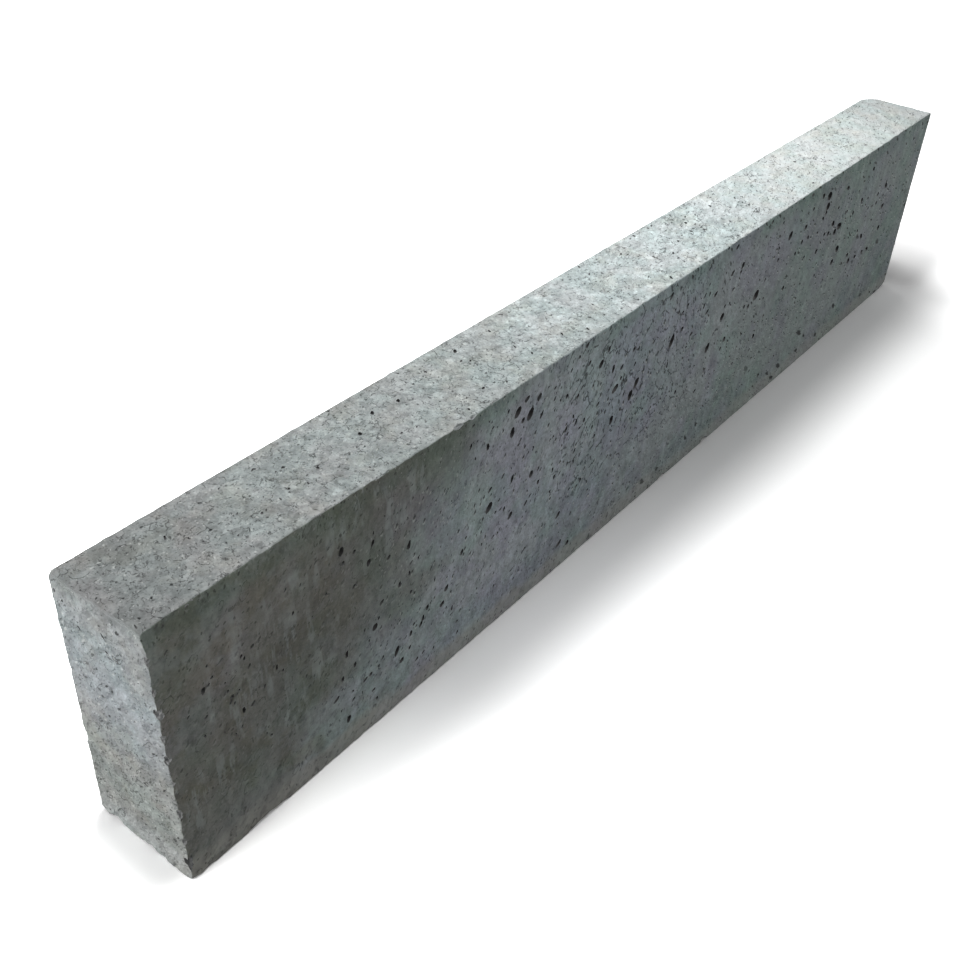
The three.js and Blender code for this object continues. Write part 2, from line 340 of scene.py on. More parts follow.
def corner_at(side_x, side_y, height):
    """A sharp corner of the stone, before its arrises are eased."""
    rise = height / HEIGHT
    x = side_x * (LENGTH / 2 - END_DRAFT * rise)
    y = side_y * (BED_WIDTH / 2 - FACE_DRAFT * rise)
    return Vector((x - END_RACK * y / BED_WIDTH, y, height))


def add_break(bm, side, level, reach, seed):
    """The block that takes a corner off: its underside is the rough break."""
    corner = corner_at(*side, HEIGHT if level > 0 else 0)
    inward = (-side[0], -side[1], -level)
    points = [corner + Vector([inward[i] * reach[i] if i == axis else 0 for i in range(3)])
              for axis in range(3)]
    middle = sum(points, Vector()) / 3
    outward = (points[1] - points[0]).cross(points[2] - points[0]).normalized()
    if outward.dot(corner - middle) < 0:
        outward.negate()
    size = BREAK_BLOCK * max(reach)
    cells = round(size / BREAK_CELL)
    sheet = bmesh.ops.create_grid(bm, x_segments=cells, y_segments=cells, size=size / 2)["verts"]
    faces = list({face for vert in sheet for face in vert.link_faces})
    raised = bmesh.ops.extrude_face_region(bm, geom=faces)["geom"]
    lid = [item for item in raised if isinstance(item, bmesh.types.BMVert)]
    bmesh.ops.translate(bm, verts=lid, vec=(0, 0, size))
    bulge = BREAK_BULGE * max(reach)
    for vert in sheet:
        offset = Vector((vert.co.x, vert.co.y, seed)) / max(reach)
        wander = fractal(offset * BREAK_WAVES, 0.7, 2.1, 3)
        wander = BREAK_ROUGH * (wander + fractal(offset * BREAK_GRAIN, 0.7, 2.1, 2))
        vert.co.z = bulge * (1 - 4 * (vert.co.xy.length / size) ** 2) + wander
    turn = outward.to_track_quat("Z", "Y").to_matrix().to_4x4()
    bmesh.ops.transform(bm, matrix=Matrix.Translation(middle) @ turn, verts=sheet + lid)


def chipped_edges():
    """Each edge's start, direction along it and direction out of the stone."""
    low_front, low_back = corner_at(-1, -1, 0), corner_at(-1, 1, 0)
    return {
        "left_front_upright": (low_front, corner_at(-1, -1, HEIGHT), Vector((-1, -1, 0))),
        "left_back_upright": (low_back, corner_at(-1, 1, HEIGHT), Vector((-1, 1, 0))),
        "left_bed": (low_front, low_back, Vector((-1, 0, -1))),
        "front_bed": (low_front, corner_at(1, -1, 0), Vector((0, -1, -1))),
        "front_top": (corner_at(-1, -1, HEIGHT), corner_at(1, -1, HEIGHT), Vector((0, -1, 1))),
    }


def add_chip(bm, start, end, out, at, length, depth, seed):
    """The uneven lump that bites a chip out of an edge."""
    along = (end - start).normalized()
    out = out.normalized()
    across = out.cross(along)
    radius = CHIP_OPENING * depth
    lump = bmesh.ops.create_icosphere(bm, subdivisions=4, radius=1)["verts"]
    for vert in lump:
        offset = vert.co * CHIP_WAVES + Vector((seed, 0, 0))
        vert.co *= 1 + CHIP_ROUGH * fractal(offset, 0.6, 2.1, 5)
    stretch = Matrix((along * length / 2, across * radius, out * radius)).transposed().to_4x4()
    place = Matrix.Translation(start + along * at + out * (radius - depth))
    bmesh.ops.transform(bm, matrix=place @ stretch, verts=lump)


def cutter(name, fill):
    """An object whose mesh the fill function adds to."""
    bm = bmesh.new()
    fill(bm)
    bmesh.ops.recalc_face_normals(bm, faces=bm.faces)
    mesh = bpy.data.meshes.new(name)
    bm.to_mesh(mesh)
    bm.free()
    return linked(name, mesh)


def fill_breaks(bm):
    for number, (side, level, reach) in enumerate(CORNER_BREAKS):
        add_break(bm, side, level, reach, number + 1)


def fill_chips(bm):
    edges = chipped_edges()
    for name, chips in EDGE_CHIPS.items():
        for number, (at, length, depth) in enumerate(chips):
            add_chip(bm, *edges[name], at * MM, length * MM, depth * MM, len(name) + 7 * number)


# ---------------------------------------------------------------- relief

# How fine each part of the relief is, in cells to the metre.
GRAIN_SCALE = 150
LUMP_SCALE = 100
LUMP_PATCH_SCALE = 22
WAVE_SCALE = 9
DENT_SCALE = 55
RAGGED_SCALE = 110

# Where one thing turns into another: where the change starts and where it is full.
CAST_TO_STRUCK = 0.8, 0.45      # by how much a face looks along Y
TO_BED = -0.4, -0.9             # by how much a face looks up
TO_PATCH = 0.38, 0.62           # by the noise that spreads the lumps in patches
FAR_TO_NEAR_WEAR = 0.05, -0.45  # by X
FRONT_TO_BACK_WEAR = -0.01, 0.02    # by Y
TO_RAGGED = 0.46, 0.72          # by the noise that breaks up an arris

LUMP_LEVEL = 0.45       # the height of a lump that stays on the flat face
LEAST_LUMPS = 0.25      # of their depth, between the patches
BED_SHARE = 0.3         # of the relief, on the bed
BACK_SHARE = 0.2        # of the wear, along the back
DENT_SHARE = 0.4        # of the cast wave's depth
ARRIS_CORE = 1.5 * MM   # within this of an edge, its wear is full


def relief_tree():
    """Geometry Nodes: grain, lumps and waves in the faces, and ragged arrises."""
    tree = bpy.data.node_groups.new("cast_relief", "GeometryNodeTree")
    source, sink = sockets(tree, [
        ("Geometry", "Geometry", None),
        ("Grain Depth", "Float", 1.8 * MM),
        ("Lump Depth", "Float", 1.6 * MM),
        ("Cast Wave", "Float", 0.5 * MM),
        ("Near Wear", "Float", 0.8 * MM),
        ("Far Wear", "Float", 0.3 * MM),
        ("Arris Reach", "Float", 4.5 * MM),
    ], [("Geometry", "Geometry")])
    nodes = Nodes(tree)
    inputs = source.outputs
    place = nodes.add("GeometryNodeInputPosition").outputs[0]
    normal = nodes.add("GeometryNodeInputNormal").outputs[0]
    facing = nodes.split(normal)
    struck = nodes.ramp(nodes.math("ABSOLUTE", facing[1]), *CAST_TO_STRUCK)
    bed = nodes.ramp(facing[2], *TO_BED, 1.0, BED_SHARE)

    grain = nodes.times(nodes.swing(place, GRAIN_SCALE, 3, 0.6), inputs["Grain Depth"])
    patches = nodes.ramp(nodes.noise(place, LUMP_PATCH_SCALE), *TO_PATCH, LEAST_LUMPS, 1.0)
    lumps = nodes.math("SUBTRACT", nodes.cells(place, LUMP_SCALE, "SMOOTH_F1"), LUMP_LEVEL)
    lumps = nodes.times(lumps, patches, inputs["Lump Depth"])
    rough = nodes.times(nodes.math("ADD", grain, lumps), struck, bed)
    dents = nodes.times(nodes.swing(place, DENT_SCALE), DENT_SHARE)
    smooth = nodes.math("ADD", nodes.swing(place, WAVE_SCALE), dents)
    smooth = nodes.times(smooth, inputs["Cast Wave"])
    push = nodes.scaled(normal, nodes.times(nodes.math("ADD", rough, smooth), -1))

    along, across = nodes.split(place)[:2]
    wear = nodes.ramp(along, *FAR_TO_NEAR_WEAR, inputs["Far Wear"], inputs["Near Wear"])
    wear = nodes.times(wear, nodes.ramp(across, *FRONT_TO_BACK_WEAR, 1.0, BACK_SHARE))
    push = nodes.vector("ADD", push, arris_wear(nodes, place, wear, inputs["Arris Reach"]))
    landed = nodes.vector("MAXIMUM", nodes.vector("ADD", place, push), (-1.0, -1.0, 0.0))
    moved = nodes.add("GeometryNodeSetPosition", {"Geometry": inputs["Geometry"],
                                                  "Position": landed})
    tree.links.new(moved.outputs[0], sink.inputs[0])
    return tree


def vector_ramp(nodes, value, low, high):
    """Each part of a vector, from 0 at low to 1 at high."""
    return nodes.add("ShaderNodeMapRange", {"Vector": value, 7: low, 8: high},
                     data_type="FLOAT_VECTOR", clamp=True).outputs["Vector"]


def arris_wear(nodes, place, depth, reach):
    """How far each point is pushed in by wear, which follows the stone's edges and wanders."""
    x, y, z = nodes.split(place)[:3]
    square = nodes.math("ADD", x, nodes.times(y, END_RACK / BED_WIDTH))
    centred = nodes.join(square, y, nodes.math("SUBTRACT", z, HEIGHT / 2))
    lean = nodes.scaled((END_DRAFT / HEIGHT, FACE_DRAFT / HEIGHT, 0.0), z)
    half = nodes.vector("SUBTRACT", (LENGTH / 2, BED_WIDTH / 2, HEIGHT / 2), lean)
    inside = nodes.vector("SUBTRACT", half, nodes.vector("ABSOLUTE", centred))
    near = vector_ramp(nodes, inside, nodes.join(reach, reach, reach), (ARRIS_CORE,) * 3)
    by_x, by_y, by_z = nodes.split(near)[:3]
    others = nodes.vector("MAXIMUM", nodes.join(by_y, by_z, by_x), nodes.join(by_z, by_x, by_y))
    shown = nodes.vector("MULTIPLY", near, others)
    ragged = nodes.noise(place, RAGGED_SCALE, 3, 0.65, colour=True)
    ragged = vector_ramp(nodes, ragged, *[(edge,) * 3 for edge in TO_RAGGED])
    wear = nodes.vector("MULTIPLY", nodes.vector("MULTIPLY", ragged, shown),
                        nodes.vector("SIGN", centred))
    return nodes.scaled(wear, nodes.times(depth, -1))


# ---------------------------------------------------------------- air holes

# The air holes that can be told apart, as points of the camera's view and widths in millimetres.
# Each is cut where the camera's ray through that point meets the stone.
FRONT_AIR_HOLES = (
    (790.5, 236, 9), (779, 248.5, 4), (806, 227, 4.5), (808, 237, 4), (802, 242, 3.5),
    (795, 253.5, 3.5), (804, 257, 3.5), (778, 260, 4.5), (816, 251.5, 5.5), (828, 206.5, 7),
    (824, 196, 4), (826, 213, 4), (830, 196, 7), (823, 218.5, 4), (814, 209, 3.5),
    (824, 234.5, 3.5), (828, 233.5, 4.5), (834.5, 232, 5), (833, 223.5, 5), (839, 226, 6.5),
    (837, 248.5, 5.5), (831.5, 262, 7), (848, 260.5, 7), (847, 255, 4), (854.5, 256.5, 4.5),
    (861, 236, 5.5), (861.5, 251.5, 4.5), (866.5, 248.5, 4.5), (878, 227.5, 4.5), (862, 200, 4.5),
    (848.5, 188, 4.5), (882, 206, 5.5), (886, 185, 5), (878, 194, 5), (872, 206, 3),
    (876, 203, 3.5), (868, 208, 3), (871, 220, 3.5), (847, 211.5, 3.5), (853, 213, 3.5),
    (773, 222, 4), (874, 169, 5), (783, 288, 4.5), (738, 247, 4),
    (743, 265.5, 5.5), (733, 273, 4.5), (756, 295, 9), (748, 306.5, 4.5), (744, 307, 3),
    (733, 290, 3.5), (707, 348, 7), (722, 317, 6.5), (724, 339, 5.5), (720, 349, 3.5),
    (753, 336, 4.5), (707, 312, 4), (704, 306, 4), (698, 311, 3), (707, 322, 3),
    (715.5, 330, 3.5), (713, 334, 2.5), (682.5, 313, 4), (682, 329, 4.5), (691, 334, 4),
    (671.5, 341, 8.5), (664, 341, 3), (672, 296, 5), (705, 296, 4), (710, 294, 3.5),
    (716, 294, 5), (688, 305, 3), (675.5, 310, 2.5), (763, 316, 3.5), (762, 321, 2.5),
    (741, 334, 2.5), (694, 343, 2.5), (765, 280, 3), (710, 269, 3), (725, 306, 3),
    (667, 365, 4), (704, 370, 3.5), (714, 371, 3), (694, 366, 3), (675, 392, 3.5),
    (694, 391, 3.5), (749, 371, 3), (641, 386, 3.5), (732, 363, 3), (649, 394, 3), (758, 375, 3),
    (588, 345, 5), (588, 351.5, 2.5), (609.5, 349, 3.5), (617, 352, 3), (634.5, 349, 4),
    (639, 348.5, 3), (590, 363, 4.5), (601.5, 364, 7), (613.5, 369, 6.5), (622, 367, 5),
    (615, 389, 8), (630, 395, 8), (636, 383, 7.5), (640, 387, 3), (623.5, 394, 3),
    (611, 420, 8), (609, 404, 3), (605, 412, 3), (602, 410, 2.5), (598, 404, 4),
    (576, 422, 4.5), (578, 396, 4), (567, 396, 3.5), (573.5, 416, 3.5), (584, 420, 4),
    (592, 427, 3.5), (566, 429, 4.5), (567.5, 434, 3), (663.5, 362, 3), (654, 341.5, 4),
    (572, 370, 4), (621, 378, 3.5), (623.5, 380, 3), (627, 377, 2.5), (647, 400, 2.5),
    (635, 364, 3), (580, 357, 3), (594, 436, 4), (574, 451, 4), (573, 462, 3.5),
    (489, 508, 8), (483, 519, 3), (504, 509, 4), (500.5, 509, 2.5), (510, 515.5, 6),
    (499, 500, 3), (490, 490, 4), (484, 498, 2), (512, 479, 5.5), (503, 476, 3),
    (519.5, 477, 2.5), (531, 474, 6), (538, 482, 3.5), (530, 495.5, 3.5), (525.5, 503, 3.5),
    (549.5, 491.5, 3), (554, 477, 4), (580, 480, 4), (569, 489, 3), (586.5, 481, 2.5),
    (587, 490, 2.5), (557.5, 515, 5), (570, 513, 3), (578.5, 519.5, 2.5), (567, 542, 4.5),
    (558.5, 543, 6.5), (524, 549, 3), (522, 552, 2.5), (497.5, 533, 2.5), (492.5, 537, 3),
    (481, 545, 2.5), (481, 532, 2.5), (597.5, 501, 3), (589, 506, 2.5), (576, 486, 3),
    (527.5, 399, 5.5), (539.5, 397, 5.5), (544.5, 400, 2.5), (518, 412.5, 8), (530.5, 414, 8.5),
    (542, 414.5, 5), (523, 420.5, 4), (512.5, 432.5, 6.5), (509, 411.5, 3.5), (488, 447, 4.5),
    (471, 447, 4), (473.5, 426, 2.5), (520.5, 440, 3), (533, 448, 3), (528.5, 452.5, 2.5),
    (538.5, 468, 3.5), (552.5, 470, 4), (567, 464, 4), (555, 399, 4), (560.5, 400, 2.5),
    (553, 437, 3), (550, 440, 2.5), (493, 428.5, 2.5), (555.5, 388, 3), (518.5, 445, 3),
    (409, 545, 5), (399.5, 584.5, 5), (462, 552, 4.5), (446.5, 588, 4.5), (442, 604, 4),
    (446, 608, 2), (435, 579.5, 3), (427.5, 607, 4), (431, 602, 2), (423, 618, 4),
    (421, 624, 4), (414, 624, 3), (375, 627, 6.5), (379, 618, 3), (365, 630, 3),
    (411, 563, 3), (418.5, 557.5, 2.5), (368.5, 563, 4.5), (354, 552, 3), (341, 552, 6),
    (343, 563, 3), (373, 543, 4.5), (411, 592, 3), (421, 586, 2.5), (409.5, 573, 3),
    (452, 608, 3), (454, 604, 2), (451.5, 614, 2.5), (460, 610, 2.5), (457, 621, 2.5),
    (406, 637, 2.5), (411, 633, 3.5), (382, 602, 3.5), (389, 557, 3), (354, 586, 3),
    (347, 654, 5.5), (355, 664.5, 4), (397, 651, 6.5), (401.5, 660.5, 5), (410, 647, 3.5),
    (417, 658.5, 3), (426, 659, 2.5), (383, 657, 3.5), (379, 666, 2.5), (365.5, 679.5, 5),
    (371, 674, 3), (343, 679, 4), (353.5, 699, 4), (373.5, 690, 3), (337, 699.5, 5.5),
    (349, 719, 6.5), (342, 711, 2.5), (423, 652, 2.5), (343, 690, 2.5), (353, 691, 2.5),
    (203, 691, 5), (208, 685, 3), (252, 646, 4.5), (244.5, 657.5, 3), (241, 656, 2.5),
    (206.5, 666, 2.5), (249, 666, 3), (277, 667, 4), (279, 672, 2.5), (283, 670, 2.5),
    (265, 686, 2.5), (225, 683, 2), (239, 690, 2.5), (228, 691, 3), (232, 697, 4),
    (237, 694, 2.5), (231, 702, 3), (235, 703, 2.5), (253, 703, 4), (244, 710, 4),
    (188, 717.5, 3.5), (206, 717, 2.5), (205, 736, 3), (236, 734, 2.5), (267, 733, 2.5),
    (271, 735, 2.5), (242, 726, 3), (212, 677, 2.5), (285, 590, 3), (293, 613, 2.5),
    (312, 617, 2.5), (369, 641, 3), (300, 585, 2), (326, 594, 2.5),
)
TOP_AIR_HOLES = (
    (455, 351, 4), (398, 401, 3.5), (360, 434, 3), (372, 413, 3), (402, 433, 2.5),
    (461, 361, 2.5), (532, 353, 3), (507, 382, 2.5), (483, 388, 2.5), (469, 409, 3),
    (165, 538, 3), (470, 361, 2.5), (425, 372, 2.5), (243, 455, 2.5), (218, 456, 2.5),
    (253, 470, 2), (283, 468, 2.5), (276, 472, 1.8), (294, 471, 1.8), (307, 475, 2),
    (320, 464, 1.8), (318, 468, 2.2), (273, 478, 1.8), (266, 481, 1.6), (289, 489, 3),
    (281, 499, 2.5), (219, 488, 2), (237, 513, 1.8), (189, 538, 2), (238, 535, 2),
    (262, 513, 2.5), (266, 510, 1.8), (309, 483, 1.8), (136, 627, 2.5),
    (686, 223, 3), (691, 231, 3), (692, 234, 2.5), (694, 242, 2.5), (678, 241, 2.5),
    (673, 253, 3), (634, 236, 3.5), (654, 257, 3), (657, 258, 2.5), (671, 277, 4),
    (621, 254, 2.5), (593, 304, 2.5), (579, 267, 3), (684, 205, 2.5), (710, 206, 2.5),
    (704, 229, 2.5), (648, 228, 2.5), (562, 334, 2.5), (799, 177, 3), (813, 183, 2.5),
)
END_AIR_HOLES = (
    (117, 662, 3.5), (103, 636, 3), (107, 653, 2.5), (78.5, 628, 2.5), (105, 753, 2.5),
    (137, 755, 2.5), (110, 715, 2.5), (97, 701, 2), (73.5, 653, 2), (152, 724, 2),
)

MARK_SETS = 3           # neighbours go to different sets, so that no set overlaps itself

# The faces that holes are placed in: the holes, the way they face, and the face itself, as a
# direction out of the stone and how far that way it lies from the origin.
MARKED_FACES = (
    (FRONT_AIR_HOLES, (0, -1, 0), Vector((0, -1, FACE_DRAFT / HEIGHT)), BED_WIDTH / 2),
    (TOP_AIR_HOLES, (0, 0, 1), Vector((0, 0, 1)), HEIGHT),
    (END_AIR_HOLES, (-1, 0, 0), Vector((-1, -END_RACK / BED_WIDTH, END_DRAFT / HEIGHT)),
     LENGTH / 2),
)

# A bubble's least and greatest size, across, along and into the face, in hole widths.
BUBBLE_LEAST = (1.1, 0.5, 0.9)
BUBBLE_MOST = (1.75, 0.95, 1.6)
BUBBLE_SEGMENTS, BUBBLE_RINGS = 8, 5
SLIT_FROM = 0.0, 0.3    # along X, the bubbles turn into slits: narrower and taller
SLIT_WIDTH, SLIT_HEIGHT = 0.8, 2.0
# Smooth steps: where each one starts and is full, and what it is there.
WIDTH_NEAR = -0.30, -0.42, 0.9, 0.76    # of the stated width, by X
WIDTH_FAR = 0.05, 0.30, 1.0, 1.05
SPOTS = 0.42, 0.62, 0.12, 1.0           # how many scattered holes, by the noise of the spots
FEWER_NEAR = -0.42, -0.2, 0.15, 1.0     # by X
FEWER_LOW = 0.02, 0.13, 0.25, 1.0       # by Z
BUBBLE_TILT = radians(30), radians(85)
BUBBLE_WOBBLE = 3.2 * MM
WOBBLE_SCALE = 300      # in waves to the metre
SPOT_SCALE = 13         # of the spots where scattered holes gather
DENSEST_HOLES = 60000.0   # tries to the square metre
ON_TOP_SHARE = 0.08     # of that density
ON_END_SHARE = 0.12
SCATTERED_SEED, PLACED_SEED, SIZE_SEED = 21, 31, 11
SQUARE_ON = 0.97, 0.99  # by how much a face looks one way, which keeps holes off its edges
SIDEWAYS = 0.7          # a face that looks to the side more than this is a cast one
SHARP_FROM = radians(48)


def ray_through(px, py):
    """The camera's ray through a point of its view."""
    reach = LENS / SENSOR
    ray = Vector(((px / VIEW_WIDTH - 0.5) / reach, (0.5 - py / VIEW_WIDTH) / reach, -1))
    return (CAMERA_TURN.to_matrix() @ ray).normalized()


def on_face(px, py, out, distance):
    """Where that ray meets the plane that faces out, at that distance from the origin."""
    ray = ray_through(px, py)
    return CAMERA_PLACE + ray * (distance - out.dot(CAMERA_PLACE)) / out.dot(ray)


def placed_marks():
    """Where every placed hole goes, with its width and facing."""
    return [(on_face(px, py, out, distance), width, facing)
            for holes, facing, out, distance in MARKED_FACES for px, py, width in holes]


def hole_marks(marks):
    """A mesh of single points that carries the marks."""
    mesh = bpy.data.meshes.new("hole_marks")
    mesh.from_pydata([place for place, _, _ in marks], [], [])
    widths = mesh.attributes.new("width", "FLOAT", "POINT")
    widths.data.foreach_set("value", [width * MM for _, width, _ in marks])
    facing = mesh.attributes.new("facing", "FLOAT_VECTOR", "POINT")
    facing.data.foreach_set("vector", [c for _, _, out in marks for c in out])
    return linked("hole_marks", mesh)


def chosen(nodes, least, most, seed, kind="FLOAT_VECTOR"):
    """A random number or vector for each bubble."""
    draw = nodes.add("FunctionNodeRandomValue", {"Seed": seed}, data_type=kind)
    first = 0 if kind == "FLOAT_VECTOR" else 2
    draw.inputs[first].default_value, draw.inputs[first + 1].default_value = least, most
    return draw.outputs[first // 2]


def bubbles(nodes, points, width, facing, seed, material):
    """An uneven, leaning bubble on each point, as one real mesh."""
    ball = nodes.add("GeometryNodeMeshUVSphere", {"Segments": BUBBLE_SEGMENTS,
                                                  "Rings": BUBBLE_RINGS, "Radius": 0.5})
    along = nodes.split(nodes.add("GeometryNodeInputPosition").outputs[0])[0]
    slit = nodes.join(nodes.ramp(along, *SLIT_FROM, 1.0, SLIT_WIDTH),
                      nodes.ramp(along, *SLIT_FROM, 1.0, SLIT_HEIGHT), 1.0)
    squash = chosen(nodes, BUBBLE_LEAST, BUBBLE_MOST, seed)
    smaller = nodes.times(nodes.ramp(along, *WIDTH_NEAR), nodes.ramp(along, *WIDTH_FAR))
    scale = nodes.scaled(nodes.vector("MULTIPLY", squash, slit), nodes.times(width, smaller))
    turn = nodes.add("FunctionNodeAlignRotationToVector", {"Vector": facing}, axis="Z")
    tilt = nodes.join(0.0, 0.0, chosen(nodes, *BUBBLE_TILT, seed + 1, "FLOAT"))
    spun = nodes.add("FunctionNodeRotateRotation", {0: turn.outputs[0]}, rotation_space="LOCAL")
    nodes.tree.links.new(tilt, spun.inputs[1])
    placed = nodes.add("GeometryNodeInstanceOnPoints", {
        "Points": points, "Instance": ball.outputs["Mesh"], "Rotation": spun.outputs[0],
        "Scale": scale})
    real = nodes.add("GeometryNodeRealizeInstances", {0: placed.outputs[0]}).outputs[0]
    place = nodes.add("GeometryNodeInputPosition").outputs[0]
    wobble = nodes.drift(place, WOBBLE_SCALE, BUBBLE_WOBBLE)
    real = nodes.add("GeometryNodeSetPosition", {"Geometry": real, "Offset": wobble}).outputs[0]
    return nodes.add("GeometryNodeSetMaterial", {"Geometry": real, "Material": material}).outputs[0]


def scattered(nodes, mesh, share, spacing, seed):
    """Points spread over the faces, at least spacing apart, as dense as share says."""
    spread = nodes.add("GeometryNodeDistributePointsOnFaces", {
        "Mesh": mesh, "Distance Min": spacing, "Density Max": DENSEST_HOLES,
        "Density Factor": share, "Seed": seed}, distribute_method="POISSON")
    return spread.outputs["Points"], spread.outputs["Normal"]


def scatter_share(nodes):
    """Where the scattered holes go: in spots on the cast faces, and a few on the struck ones."""
    place = nodes.add("GeometryNodeInputPosition").outputs[0]
    normal = nodes.add("GeometryNodeInputNormal").outputs[0]
    x, _, z = nodes.split(place)[:3]
    out_x, out_y, out_z = nodes.split(normal)[:3]
    spots = nodes.ramp(nodes.noise(place, SPOT_SCALE, 3, 0.6), *SPOTS)
    fewer = nodes.times(nodes.ramp(x, *FEWER_NEAR), nodes.ramp(z, *FEWER_LOW))
    on_sides = nodes.times(spots, nodes.ramp(nodes.math("ABSOLUTE", out_y), *SQUARE_ON), fewer)
    on_top = nodes.times(nodes.ramp(out_z, *SQUARE_ON), ON_TOP_SHARE)
    on_ends = nodes.times(nodes.ramp(nodes.math("ABSOLUTE", out_x), *SQUARE_ON), ON_END_SHARE)
    return nodes.math("ADD", on_sides, nodes.math("ADD", on_top, on_ends))


def air_hole_tree(mark_sets, breaks, chips, hole_skin, broken_skin):
    """Geometry Nodes: cuts the breaks, the chips, the placed holes and the scattered ones."""
    tree = bpy.data.node_groups.new("air_holes", "GeometryNodeTree")
    source, sink = sockets(tree, [
        ("Geometry", "Geometry", None),
        ("Hole Spacing", "Float", 11 * MM),
        ("Smallest Hole", "Float", 1.2 * MM),
        ("Widest Hole", "Float", 3.0 * MM),
        ("Seed", "Int", 4),
    ], [("Geometry", "Geometry")])
    nodes = Nodes(tree)
    inputs = source.outputs
    stone = inputs["Geometry"]
    points, out = scattered(nodes, stone, scatter_share(nodes), inputs["Hole Spacing"],
                            inputs["Seed"])
    size = nodes.math("POWER", chosen(nodes, 0.0, 1.0, SIZE_SEED, "FLOAT"), 3.0)
    grow = nodes.add("ShaderNodeMapRange", {0: size, 3: inputs["Smallest Hole"],
                                            4: inputs["Widest Hole"]}).outputs[0]
    scattered_holes = bubbles(nodes, points, grow, out, SCATTERED_SEED, hole_skin)

    cut = nodes.add("GeometryNodeMeshBoolean", operation="DIFFERENCE", solver="MANIFOLD")
    tree.links.new(stone, cut.inputs["Mesh 1"])
    tree.links.new(scattered_holes, cut.inputs["Mesh 2"])
    width = nodes.add("GeometryNodeInputNamedAttribute", {"Name": "width"}, data_type="FLOAT")
    way = nodes.add("GeometryNodeInputNamedAttribute", {"Name": "facing"},
                    data_type="FLOAT_VECTOR")
    for number, marks in enumerate(mark_sets):
        info = nodes.add("GeometryNodeObjectInfo", {"Object": marks}).outputs["Geometry"]
        as_points = nodes.add("GeometryNodeMeshToPoints", {"Mesh": info}).outputs[0]
        placed = bubbles(nodes, as_points, width.outputs[0], way.outputs[0],
                         PLACED_SEED + number, hole_skin)
        tree.links.new(placed, cut.inputs["Mesh 2"])
    for piece in (breaks, chips):
        worn = nodes.add("GeometryNodeObjectInfo", {"Object": piece}).outputs["Geometry"]
        worn = nodes.add("GeometryNodeSetMaterial", {"Geometry": worn, "Material": broken_skin})
        tree.links.new(worn.outputs[0], cut.inputs["Mesh 2"])
    tree.links.new(cut.outputs["Mesh"], sink.inputs[0])
    return tree


def plain_mesh(piece):
    """Turns the piece's modifiers into its mesh."""
    graph = bpy.context.evaluated_depsgraph_get()
    made = bpy.data.meshes.new_from_object(piece.evaluated_get(graph))
    piece.modifiers.clear()
    piece.data = made


def cast_kerb(skins):
    """The whole stone as one closed mesh: relief, thinned flats, then everything cut out."""
    mesh = body_mesh()
    for skin in (skins["cast_face"], skins["struck_face"]):
        mesh.materials.append(skin)
    struck = [0 if abs(face.normal.y) > SIDEWAYS else 1 for face in mesh.polygons]
    mesh.polygons.foreach_set("material_index", struck)
    kerb = linked("kerb_stone_cast", mesh)
    kerb.modifiers.new("relief", "NODES").node_group = relief_tree()
    kerb.modifiers.new("thin", "DECIMATE").ratio = KEPT_SHARE
    plain_mesh(kerb)

    marks = placed_marks()
    mark_sets = [hole_marks(marks[number::MARK_SETS]) for number in range(MARK_SETS)]
    tools = [cutter("corner_breaks", fill_breaks), cutter("edge_chips", fill_chips)]
    tree = air_hole_tree(mark_sets, *tools, skins["air_hole"], skins["broken_face"])
    kerb.modifiers.new("holes", "NODES").node_group = tree
    plain_mesh(kerb)
    for tool in mark_sets + tools:
        bpy.data.objects.remove(tool)
    kerb.data.name = "kerb_stone_cast"
    kerb.data.set_sharp_from_angle(angle=SHARP_FROM)
    return kerb


# ---------------------------------------------------------------- stage

def white_to_camera(nodes, seen, unseen):
    """Mixes two shaders: seen by the camera, a reflection or through glass, or only lit by."""
    path = nodes.add("ShaderNodeLightPath").outputs
    either = nodes.math("MAXIMUM", path["Is Camera Ray"], path["Is Glossy Ray"])
    either = nodes.math("MAXIMUM", either, path["Is Transmission Ray"])
    return nodes.add("ShaderNodeMixShader", {0: either, 1: unseen, 2: seen}).outputs[0]


def make_world():
    world = bpy.data.worlds.new("studio")
    bpy.context.scene.world = world
    world.use_nodes = True
    world.node_tree.nodes.clear()
    nodes = Nodes(world.node_tree)
    seen, unseen = [nodes.add("ShaderNodeBackground", {"Color": grey(1.0), "Strength": strength})
                    for strength in (1.0, WORLD_FILL)]
    mixed = white_to_camera(nodes, seen.outputs[0], unseen.outputs[0])
    nodes.add("ShaderNodeOutputWorld", {"Surface": mixed})


